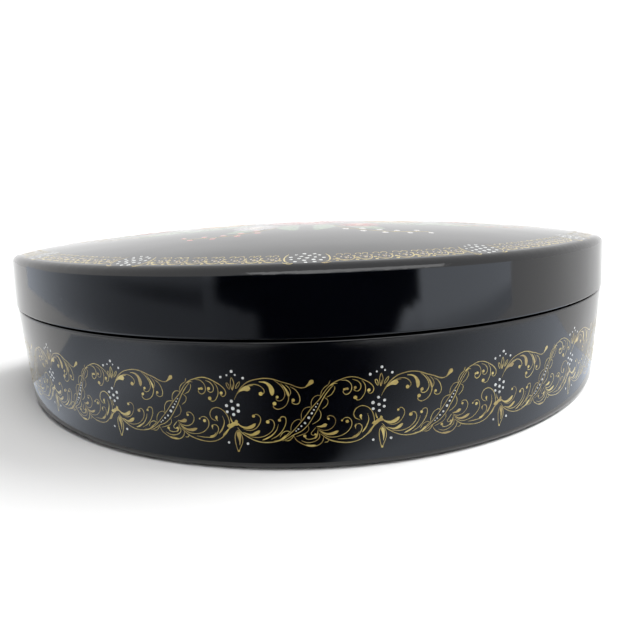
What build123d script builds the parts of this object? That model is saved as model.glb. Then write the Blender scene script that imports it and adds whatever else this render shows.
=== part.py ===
from build123d import *
import math
import os

# ---------------------------------------------------------------------------
# Oval lacquered papier-mache box with a domed, hinged lid.
# Millimetres. X is along the box, -Y is the front, +Z is up.
# Origin: middle of the footprint, on the surface the box stands on.
# ---------------------------------------------------------------------------

# outline: an oval of four tangent arcs, blunt-pointed at both ends
HALF_L = 108.0      # half length at the seam
HALF_W = 76.0       # half width at the seam
R_END = 24.0        # radius of the two end arcs
# heights
Z_SEAM = 32.75      # top rim of the base wall
GAP = 0.5           # open joint between base rim and lid rim
Z_LID_EDGE = 49.8   # height of the lid's edge, above the shoulder rounding
Z_SPLIT = 44.4      # where the domed panel is glued on the lid's wall
DOME = 6.9          # rise of the dome above the lid's edge
END_DROP = 3.0      # the lid's two ends are rubbed down lower by this much
END_POW = 24        # how close to the ends that fall stays
# walls
BASE_IN = 0.3       # the base stands this much inside the lid's rim
WALL = 5.0          # base wall thickness
LID_WALL = 4.9      # lid wall thickness at the rim
LID_LEAN = 1.4      # the lid's wall leans in by this much at the top
PANEL_T = 3.2       # thickness of the domed panel
BOARD_T = 3.0       # thickness of the bottom board
COLLAR_T = 1.6      # inner collar thickness
COLLAR_UP = 3.5     # collar height above the base rim
RIM_R = 0.5         # rounding of the base's upper outer edge
LID_R = 0.5         # rounding of the lid's lower outer edge
FOOT_R = 2.2        # rounding of the bottom outer edge
SHOULDER_R = 2.4    # rounding of the lid's shoulder
# hinge
KN_R = 1.6          # knuckle radius
PIN_R = 0.6         # pin radius
BORE_R = 0.65       # knuckle bore radius (0.05 running clearance)
LEAF_T = 0.8        # leaf thickness
LEAF_DOWN = 10.0    # base leaf depth below the pin's axis
LEAF_UP = 8.0       # lid leaf height above the pin's axis
HALF_H = 17.0       # half length of the barrel
N_KN = 5            # knuckles: three on the base leaf, two on the lid leaf
KN_GAP = 0.12       # side play between knuckles
NOTCH_R = 1.75      # hollow in the walls round the barrel
STOP_ANG = 48.5     # bevel above and below the barrel; the lid stops on it
NAIL_R = 0.5        # brass fixing nails
NAIL_X = (-12.0, 0.0, 12.0)

AX_Y = HALF_W - BASE_IN - KN_R      # pin axis: barrel flush with the back
AX_Z = Z_SEAM + GAP / 2


def radii(off=0.0):
    """Side-arc radius, end-arc radius and centres of the oval, offset by off."""
    a, b, r2 = HALF_L, HALF_W, R_END
    r1 = ((a - r2) ** 2 + b ** 2 - r2 ** 2) / (2 * (b - r2))
    phi = math.atan2(r1 - b, a - r2)
    return r1 + off, r2 + off, a - r2, r1 - b, phi


def oval(off=0.0):
    """Closed outline, the base oval moved outwards by off (inwards if negative)."""
    r1, r2, cx, cy, phi = radii(off)
    c, s = math.cos(phi), math.sin(phi)
    p = [(cx + r2 * c, r2 * s), (-cx - r2 * c, r2 * s), (-cx - r2 * c, -r2 * s), (cx + r2 * c, -r2 * s)]
    e1 = ThreePointArc(p[0], (0, r1 - cy), p[1])
    e2 = ThreePointArc(p[1], (-cx - r2, 0), p[2])
    e3 = ThreePointArc(p[2], (0, -(r1 - cy)), p[3])
    e4 = ThreePointArc(p[3], (cx + r2, 0), p[0])
    return Wire([e1, e2, e3, e4])


def slab(off, z0, z1, taper=0.0):
    """Solid of the offset oval between two heights."""
    f = Face(oval(off)).moved(Location((0, 0, z0)))
    if taper:
        return Solid.extrude_taper(f, Vector(0, 0, z1 - z0), taper)
    return Solid.extrude(f, Vector(0, 0, z1 - z0))


def hoop(off_out, off_in, z0, z1):
    return slab(off_out, z0, z1) - slab(off_in, z0 - 1, z1 + 1)


def outer_y(x, off=0.0):
    """Back face of the offset oval at a given x near the middle."""
    r1, _, _, cy, _ = radii(off)
    return math.sqrt(r1 * r1 - x * x) - cy


# dome: height over the lid's edge falls from DOME at the centre to 0 on the
# edge oval; the mixed term makes the edge of the dome level all round
EDGE = -LID_LEAN - SHOULDER_R * 0.5
EA, EB = HALF_L + EDGE, HALF_W + EDGE


def edge_mix():
    r1, r2, cx, cy, phi = radii(EDGE)
    num = den = 0.0
    for i in range(1, 60):
        t = math.pi / 2 * i / 60
        if t < phi:
            x, y = cx + r2 * math.cos(t), r2 * math.sin(t)
        else:
            x, y = r1 * math.cos(t), r1 * math.sin(t) - cy
        u, v = (x / EA) ** 2, (y / EB) ** 2
        num += (1 - u - v) * u * v
        den += (u * v) ** 2
    return num / den


MIX = edge_mix()


def dome_z(x, y, drop=0.0):
    u, v = (x / EA) ** 2, (y / EB) ** 2
    g = u + v + MIX * u * v
    return Z_LID_EDGE + DOME * (1 - g) - END_DROP * abs(x / EA) ** END_POW - drop


def above_dome(drop, margin):
    """Block of everything above the dome's surface lowered by drop."""
    nx, ny = 75, 19
    X, Y = HALF_L + margin, HALF_W + margin
    pts = [[Vector(-X + 2 * X * i / (nx - 1), -Y + 2 * Y * j / (ny - 1),
                   dome_z(-X + 2 * X * i / (nx - 1), -Y + 2 * Y * j / (ny - 1), drop))
            for j in range(ny)] for i in range(nx)]
    surf = Face.make_surface_from_array_of_points(pts, tol=1e-3, smoothing=None, min_deg=3, max_deg=6)
    return Solid.extrude(surf, Vector(0, 0, 60))


def cyl_x(r, x0, x1, y, z):
    return Solid.make_cylinder(r, x1 - x0, Plane(origin=(x0, y, z), z_dir=(1, 0, 0)))


def block(x0, x1, y0, y1, z0, z1):
    return Solid.make_box(x1 - x0, y1 - y0, z1 - z0).moved(Location((x0, y0, z0)))


def stop_wedge(x0, x1, up):
    """Prism cut away beside the barrel, between the pin's axis and the outer face."""
    s = 1 if up else -1
    h = 4.0 * math.tan(math.radians(STOP_ANG))
    w = Wire.make_polygon([(x0, AX_Y, AX_Z), (x0, AX_Y + 4.0, AX_Z), (x0, AX_Y + 4.0, AX_Z + s * h)], close=True)
    return Solid.extrude(Face(w), Vector(x1 - x0, 0, 0))


def one(shape):
    """The single solid of a boolean result."""
    s = shape.solids() if hasattr(shape, "solids") else [shape]
    s = sorted(s, key=lambda q: -q.volume)
    return s[0]


# ------------------------------------------------------------------ hinge
step = 2 * HALF_H / N_KN
NX0, NX1 = -HALF_H - 0.6, HALF_H + 0.6


def leaf(own, z0, z1, base):
    """Leaf plate with its own knuckles; notched clear of the other leaf's."""
    y0, y1 = AX_Y - KN_R, AX_Y - KN_R + LEAF_T
    s = block(-HALF_H, HALF_H, y0, y1, z0, z1)
    for i in range(N_KN):
        x0 = -HALF_H + i * step
        if i not in own:
            if base:
                s = s - block(x0 - 0.15, x0 + step + 0.15, y0 - 1, y1 + 1, AX_Z - NOTCH_R, AX_Z + 1)
            else:
                s = s - block(x0 - 0.15, x0 + step + 0.15, y0 - 1, y1 + 1, AX_Z - 1, AX_Z + NOTCH_R)
    for i in own:
        a = -HALF_H + i * step + (KN_GAP / 2 if i else 0)
        b = -HALF_H + (i + 1) * step - (KN_GAP / 2 if i < N_KN - 1 else 0)
        s = s + cyl_x(KN_R, a, b, AX_Y, AX_Z)
    s = s - cyl_x(BORE_R, -HALF_H - 1, HALF_H + 1, AX_Y, AX_Z)
    for x in NAIL_X:
        z = AX_Z - 6.2 if base else AX_Z + 5.0
        s = s - Solid.make_cylinder(NAIL_R, 8, Plane(origin=(x, AX_Y - 5, z), z_dir=(0, 1, 0)))
    return one(s)


hinge_base_leaf = leaf((0, 2, 4), AX_Z - LEAF_DOWN, AX_Z, True)
hinge_lid_leaf = leaf((1, 3), AX_Z, AX_Z + LEAF_UP, False)
hinge_pin = one(cyl_x(PIN_R, -HALF_H - 0.4, HALF_H + 0.4, AX_Y, AX_Z)
                + cyl_x(0.95, -HALF_H - 0.45, -HALF_H, AX_Y, AX_Z)
                + cyl_x(0.95, HALF_H, HALF_H + 0.45, AX_Y, AX_Z))


def nails(z, off_in, cutter=False):
    out = []
    for x in NAIL_X:
        y0 = outer_y(x, off_in) + (-2.0 if cutter else 0.02)
        y1 = AX_Y + 0.2
        out.append(Solid.make_cylinder(NAIL_R, y1 - y0, Plane(origin=(x, y0, z), z_dir=(0, 1, 0))))
    return out


base_nails = nails(AX_Z - 6.2, -BASE_IN - WALL)
lid_nails = nails(AX_Z + 5.0, -LID_WALL)

# ------------------------------------------------------------------- base
outer = slab(-BASE_IN, 0, Z_SEAM)
outer = fillet(outer.edges().filter_by_position(Axis.Z, -0.01, 0.01), FOOT_R)
outer = fillet(outer.edges().filter_by_position(Axis.Z, Z_SEAM - 0.01, Z_SEAM + 0.01), RIM_R)
base_wall = outer - slab(-BASE_IN - WALL, -1, Z_SEAM + 1)
base_wall = base_wall - cyl_x(NOTCH_R, NX0, NX1, AX_Y, AX_Z) - stop_wedge(NX0, NX1, False)
base_wall = base_wall - block(-HALF_H, HALF_H, AX_Y - KN_R, AX_Y - KN_R + LEAF_T, AX_Z - LEAF_DOWN, AX_Z + 1)
for n in nails(AX_Z - 6.2, -BASE_IN - WALL, True):
    base_wall = base_wall - n
base_wall = one(base_wall)

bottom_board = slab(-BASE_IN - WALL, 0, BOARD_T)

c_off = -BASE_IN - WALL
inner_collar = hoop(c_off, c_off - COLLAR_T, BOARD_T, Z_SEAM + COLLAR_UP)
inner_collar = one(chamfer(
    inner_collar.edges().filter_by_position(Axis.Z, Z_SEAM + COLLAR_UP - 0.01, Z_SEAM + COLLAR_UP + 0.01), 0.35))

# -------------------------------------------------------------------- lid
Z_RIM = Z_SEAM + GAP
lean = math.degrees(math.atan(LID_LEAN / (Z_LID_EDGE - Z_RIM)))
lid_outer = slab(0.0, Z_RIM, Z_LID_EDGE + DOME + 3, lean)
lid_outer = fillet(lid_outer.edges().filter_by_position(Axis.Z, Z_RIM - 0.01, Z_RIM + 0.01), LID_R)
cap = lid_outer - above_dome(0.0, 4.0)
cap = one(cap)
top_edges = [e for e in cap.edges() if e.center().Z > 43.5]
cap = one(fillet(top_edges, SHOULDER_R))
lid_wall = cap - slab(-LID_WALL, Z_RIM - 1, Z_SPLIT + 1)
lid_wall = lid_wall - block(-200, 200, -200, 200, Z_SPLIT, 100)
lid_wall = lid_wall - cyl_x(NOTCH_R, NX0, NX1, AX_Y, AX_Z) - stop_wedge(NX0, NX1, True)
lid_wall = lid_wall - block(-HALF_H, HALF_H, AX_Y - KN_R, AX_Y - KN_R + LEAF_T, AX_Z - 1, AX_Z + LEAF_UP)
for n in nails(AX_Z + 5.0, -LID_WALL, True):
    lid_wall = lid_wall - n
lid_wall = one(lid_wall)

hollow = slab(-LID_WALL, Z_SPLIT - 1, 80) - above_dome(PANEL_T, 4.0)
lid_panel = cap - block(-200, 200, -200, 200, 0, Z_SPLIT) - one(hollow)
lid_panel = one(lid_panel)

nodes = {
    "base_wall": [base_wall],
    "bottom_board": [bottom_board],
    "inner_collar": [inner_collar],
    "lid_wall": [lid_wall],
    "lid_panel": [lid_panel],
    "hinge_base_leaf": [hinge_base_leaf],
    "hinge_lid_leaf": [hinge_lid_leaf],
    "hinge_pin": [hinge_pin],
    "hinge_base_nails": base_nails,
    "hinge_lid_nails": lid_nails,
}

os.makedirs("parts", exist_ok=True)
for name, solids in nodes.items():
    shape = solids[0] if len(solids) == 1 else Compound(children=list(solids))
    export_step(shape, os.path.join("parts", name + ".step"))
    bb = shape.bounding_box()
    print(name, len(solids), round(sum(s.volume for s in solids), 2),
          [round(v, 2) for v in (bb.min.X, bb.min.Y, bb.min.Z, bb.max.X, bb.max.Y, bb.max.Z)])
r1, r2, cx, cy, phi = radii(0)
print("side radius", round(r1, 2), "perimeter", round(4 * (phi * r2 + (math.pi / 2 - phi) * r1), 2), "mix", round(MIX, 4))
print("axis y z", AX_Y, AX_Z)
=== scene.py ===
import bpy, bmesh, math, random
from mathutils import Matrix, Vector
from mathutils.bvhtree import BVHTree


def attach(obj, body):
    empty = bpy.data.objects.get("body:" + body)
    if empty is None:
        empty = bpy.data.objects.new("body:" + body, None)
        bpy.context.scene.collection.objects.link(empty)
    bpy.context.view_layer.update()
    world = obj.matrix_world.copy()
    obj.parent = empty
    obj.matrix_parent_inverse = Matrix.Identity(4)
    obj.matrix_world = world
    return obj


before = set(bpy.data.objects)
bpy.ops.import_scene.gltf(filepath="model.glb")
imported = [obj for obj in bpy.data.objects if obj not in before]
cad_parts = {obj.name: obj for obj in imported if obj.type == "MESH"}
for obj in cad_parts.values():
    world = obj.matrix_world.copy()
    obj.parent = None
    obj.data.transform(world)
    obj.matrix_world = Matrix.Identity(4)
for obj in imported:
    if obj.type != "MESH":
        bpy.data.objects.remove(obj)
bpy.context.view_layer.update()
random.seed(7)
MM = 0.001

# ---------------------------------------------------------------- the oval
HL, HW, RE = 108.0, 76.0, 24.0
BASE_IN, LEAN, SH = 0.3, 1.4, 2.4
Z_SEAM, Z_EDGE, DOME = 32.75, 49.8, 6.9
END_DROP, END_POW = 3.0, 24
R1 = ((HL - RE) ** 2 + HW ** 2 - RE ** 2) / (2 * (HW - RE))
CX, CY = HL - RE, R1 - HW
PHI = math.atan2(CY, CX)
LIM = math.pi / 2 - PHI
EA, EB = HL - LEAN - SH * 0.5, HW - LEAN - SH * 0.5


def perimeter(off):
    return 4 * (PHI * (RE + off) + LIM * (R1 + off))


def oval(s, ref, off):
    """Point and outward normal at arc length s (measured on the oval offset by
    ref, from the middle of the front towards +x), on the oval offset by off."""
    a, b = (R1 + ref) * LIM, 2 * (RE + ref) * PHI
    s = s % (4 * a + 2 * b)
    if s < a:
        al, c, r = -math.pi / 2 + s / (R1 + ref), (0, CY), R1
    elif s < a + b:
        al, c, r = -PHI + (s - a) / (RE + ref), (CX, 0), RE
    elif s < 3 * a + b:
        al, c, r = PHI + (s - a - b) / (R1 + ref), (0, -CY), R1
    elif s < 3 * a + 2 * b:
        al, c, r = math.pi - PHI + (s - 3 * a - b) / (RE + ref), (-CX, 0), RE
    else:
        al, c, r = math.pi + PHI + (s - 3 * a - 2 * b) / (R1 + ref), (0, CY), R1
    n = (math.cos(al), math.sin(al))
    return c[0] + (r + off) * n[0], c[1] + (r + off) * n[1], n[0], n[1]


def edge_mix():
    num = den = 0.0
    for i in range(1, 60):
        t = math.pi / 2 * i / 60
        e = -LEAN - SH * 0.5
        if t < PHI:
            x, y = CX + (RE + e) * math.cos(t), (RE + e) * math.sin(t)
        else:
            x, y = (R1 + e) * math.cos(t), (R1 + e) * math.sin(t) - CY
        u, v = (x / EA) ** 2, (y / EB) ** 2
        num += (1 - u - v) * u * v
        den += (u * v) ** 2
    return num / den


MIX = edge_mix()


def dome_z(x, y):
    u, v = (x / EA) ** 2, (y / EB) ** 2
    return Z_EDGE + DOME * (1 - (u + v + MIX * u * v)) - END_DROP * abs(x / EA) ** END_POW


def surface(node):
    """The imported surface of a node, so that paint lies right on it."""
    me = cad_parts[node].data
    return BVHTree.FromPolygons([v.co.copy() for v in me.vertices], [tuple(f.vertices) for f in me.polygons])


WALL_T, LID_T = surface("base_wall"), surface("lid_panel")


def on_wall(p, h):
    x, y, nx, ny = oval(p[0], -BASE_IN, -BASE_IN)
    hit = WALL_T.ray_cast(Vector(((x + nx * 3) * MM, (y + ny * 3) * MM, p[1] * MM)), Vector((-nx, -ny, 0.0)), 0.006)[0]
    q = hit if hit else Vector((x * MM, y * MM, p[1] * MM))
    return (q.x + nx * h * MM, q.y + ny * h * MM, q.z)


def on_dome(p, h):
    x, y = p
    e = 0.5
    gx = (dome_z(x + e, y) - dome_z(x - e, y)) / (2 * e)
    gy = (dome_z(x, y + e) - dome_z(x, y - e)) / (2 * e)
    k = 1 / math.sqrt(1 + gx * gx + gy * gy)
    hit = LID_T.ray_cast(Vector((x * MM, y * MM, 0.07)), Vector((0, 0, -1)), 0.04)[0]
    z = hit.z if hit else dome_z(x, y) * MM
    return ((x - gx * k * h) * MM, (y - gy * k * h) * MM, z + k * h * MM)


def on_rim(p, h):
    """p = (arc length on the base oval, distance in from the lid's edge)."""
    x, y, nx, ny = oval(p[0], 0.0, -p[1])
    return on_dome((x, y), h)


# ------------------------------------------------------------ brush strokes
class Paint:
    """Collects raised brush strokes into one mesh."""

    def __init__(self):
        self.v, self.f, self.c, self.sharp = [], [], [], set()

    def tri(self, *f):
        self.f.append(f)

    def crease(self, a, b):
        self.sharp.add((min(a, b), max(a, b)))

    def stroke(self, pts, w0, put, kind="l", lift=0.05, col=(1, 1, 1), closed=False, step=0.38, zoff=0.0):
        """Follows pts with a soft crowned ribbon. kind l: even line with fine
        ends; f: club-shaped leaf, thickest near its far end; o: closed loop."""
        q = smooth(pts, step, closed)
        n = len(q)
        if n < 3:
            return
        L = [0.0]
        for i in range(1, n):
            L.append(L[-1] + math.dist(q[i], q[i - 1]))
        tot = L[-1] or 1.0
        base = len(self.v)
        ph = random.uniform(0, 6.28)
        for i in range(n):
            a, b = (q[(i - 1) % n], q[(i + 1) % n]) if closed else (q[max(i - 1, 0)], q[min(i + 1, n - 1)])
            tx, ty = b[0] - a[0], b[1] - a[1]
            d = math.hypot(tx, ty) or 1.0
            nx, ny = -ty / d, tx / d
            t = L[i] / tot
            if closed:
                w = w0 * (1 + 0.12 * math.sin(6.28 * t + ph))
            elif kind == "f":
                w = w0 * club(t)
            elif kind == "p":
                w = w0 * max(0.06, math.sin(math.pi * t) ** 0.7)
            else:
                w = w0 * (0.35 + 0.65 * min(1.0, 6 * t, 7 * (1 - t) + 0.25)) * (1 + 0.14 * math.sin(9 * t + ph))
            x, y = q[i]
            for k, hh in ((0.5, -0.025), (0.43, lift + zoff), (-0.43, lift + zoff), (-0.5, -0.025)):
                self.v.append(put((x + nx * w * k, y + ny * w * k), hh))
            self.c += [col] * 4
        m = n if closed else n - 1
        for i in range(m):
            a = base + 4 * i
            b = base + 4 * ((i + 1) % n)
            for k in range(4):
                self.tri(a + k, a + (k + 1) % 4, b + (k + 1) % 4, b + k)
                self.crease(a + k, b + k)
        if not closed:
            e = base + 4 * (n - 1)
            self.tri(base + 3, base + 2, base + 1, base)
            self.tri(e, e + 1, e + 2, e + 3)
            for k in range(3):
                self.crease(base + k, base + k + 1)
                self.crease(e + k, e + k + 1)

    def dot(self, p, r, put, col=(1, 1, 1), lift=0.05, n=12, sq=1.0):
        base = len(self.v)
        for rr, hh in ((1.0, -0.025), (0.96, lift * 0.5), (0.55, lift * 0.93)):
            for k in range(n):
                a = 2 * math.pi * k / n
                self.v.append(put((p[0] + r * rr * math.cos(a), p[1] + r * rr * sq * math.sin(a)), hh))
                self.c.append(col)
        self.v.append(put(p, lift))
        self.c.append(col)
        for ring in (0, 1):
            for k in range(n):
                a, b = base + ring * n + k, base + ring * n + (k + 1) % n
                self.tri(a, b, b + n, a + n)
                self.crease(a, b) if ring == 0 else None
                self.crease(base + n + k, base + n + (k + 1) % n)
        for k in range(n):
            self.tri(base + 2 * n + k, base + 2 * n + (k + 1) % n, base + 3 * n)
        self.tri(*[base + k for k in range(n - 1, -1, -1)])

    def patch(self, outline, put, col, lift=0.02, ring=0.8):
        """Flat painted patch, star-shaped about its middle."""
        n = len(outline)
        cx, cy = sum(p[0] for p in outline) / n, sum(p[1] for p in outline) / n
        base = len(self.v)
        for rr, hh in ((1.0, -0.025), (0.985, lift), (ring, lift), (0.6, lift), (0.32, lift)):
            for p in outline:
                self.v.append(put((cx + (p[0] - cx) * rr, cy + (p[1] - cy) * rr), hh))
                self.c.append(col)
        self.v.append(put((cx, cy), lift))
        self.c.append(col)
        for g in range(4):
            for k in range(n):
                a, b = base + g * n + k, base + g * n + (k + 1) % n
                self.tri(a, b, b + n, a + n)
                self.crease(base + n + k, base + n + (k + 1) % n)
        for k in range(n):
            self.tri(base + 4 * n + k, base + 4 * n + (k + 1) % n, base + 5 * n)
        self.tri(*[base + k for k in range(n - 1, -1, -1)])

    def make(self, name, mat, body, slot):
        me = bpy.data.meshes.new(name)
        me.from_pydata(self.v, [], self.f)
        me.update()
        at = me.color_attributes.new("tone", "FLOAT_COLOR", "POINT")
        for i, c in enumerate(self.c):
            at.data[i].color = (*c, 1.0)
        bm = bmesh.new()
        bm.from_mesh(me)
        bmesh.ops.recalc_face_normals(bm, faces=bm.faces)
        bm.to_mesh(me)
        bm.free()
        for p in me.polygons:
            p.use_smooth = True
        sh = me.attributes.new("sharp_edge", "BOOLEAN", "EDGE")
        for e in me.edges:
            a, b = e.vertices
            if (min(a, b), max(a, b)) in self.sharp:
                sh.data[e.index].value = True
        o = bpy.data.objects.new(name, me)
        bpy.context.scene.collection.objects.link(o)
        me.materials.append(mat)
        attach(o, body)
        return o


def club(t):
    """Width along a pressed brush stroke: fine start, round full end."""
    if t < 0.72:
        return 0.12 + 0.88 * (t / 0.72) ** 1.25
    u = (t - 0.72) / 0.28
    return max(0.05, math.sqrt(max(0.0, 1 - (u * 0.995) ** 2.2)))


def smooth(pts, step, closed=False):
    """Even points on a Catmull-Rom curve through pts."""
    if len(pts) == 2:
        a, b = pts
        pts = [a, ((a[0] + b[0]) / 2, (a[1] + b[1]) / 2), b]
    p = [Vector((x, y)) for x, y in pts]
    n = len(p)
    dense = []
    segs = n if closed else n - 1
    for i in range(segs):
        if closed:
            p0, p1, p2, p3 = p[(i - 1) % n], p[i], p[(i + 1) % n], p[(i + 2) % n]
        else:
            p1, p2 = p[i], p[i + 1]
            p0 = p[i - 1] if i else p1 * 2 - p2
            p3 = p[i + 2] if i + 2 < n else p2 * 2 - p1
        t0 = 0.0
        t1 = t0 + max((p1 - p0).length, 1e-4) ** 0.5
        t2 = t1 + max((p2 - p1).length, 1e-4) ** 0.5
        t3 = t2 + max((p3 - p2).length, 1e-4) ** 0.5
        k = 8
        for j in range(k):
            t = t1 + (t2 - t1) * j / k
            a1 = p0 * ((t1 - t) / (t1 - t0)) + p1 * ((t - t0) / (t1 - t0))
            a2 = p1 * ((t2 - t) / (t2 - t1)) + p2 * ((t - t1) / (t2 - t1))
            a3 = p2 * ((t3 - t) / (t3 - t2)) + p3 * ((t - t2) / (t3 - t2))
            b1 = a1 * ((t2 - t) / (t2 - t0)) + a2 * ((t - t0) / (t2 - t0))
            b2 = a2 * ((t3 - t) / (t3 - t1)) + a3 * ((t - t1) / (t3 - t1))
            dense.append(b1 * ((t2 - t) / (t2 - t1)) + b2 * ((t - t1) / (t2 - t1)))
    if not closed:
        dense.append(p[-1])
    else:
        dense.append(dense[0].copy())
    L = [0.0]
    for i in range(1, len(dense)):
        L.append(L[-1] + (dense[i] - dense[i - 1]).length)
    m = max(4, int(L[-1] / step) + 1)
    out, j = [], 0
    cnt = m if closed else m + 1
    for i in range(cnt):
        d = L[-1] * i / m
        while j < len(L) - 2 and L[j + 1] < d:
            j += 1
        f = (d - L[j]) / max(L[j + 1] - L[j], 1e-9)
        q = dense[j].lerp(dense[j + 1], min(1, max(0, f)))
        out.append((q.x, q.y))
    return out


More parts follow.
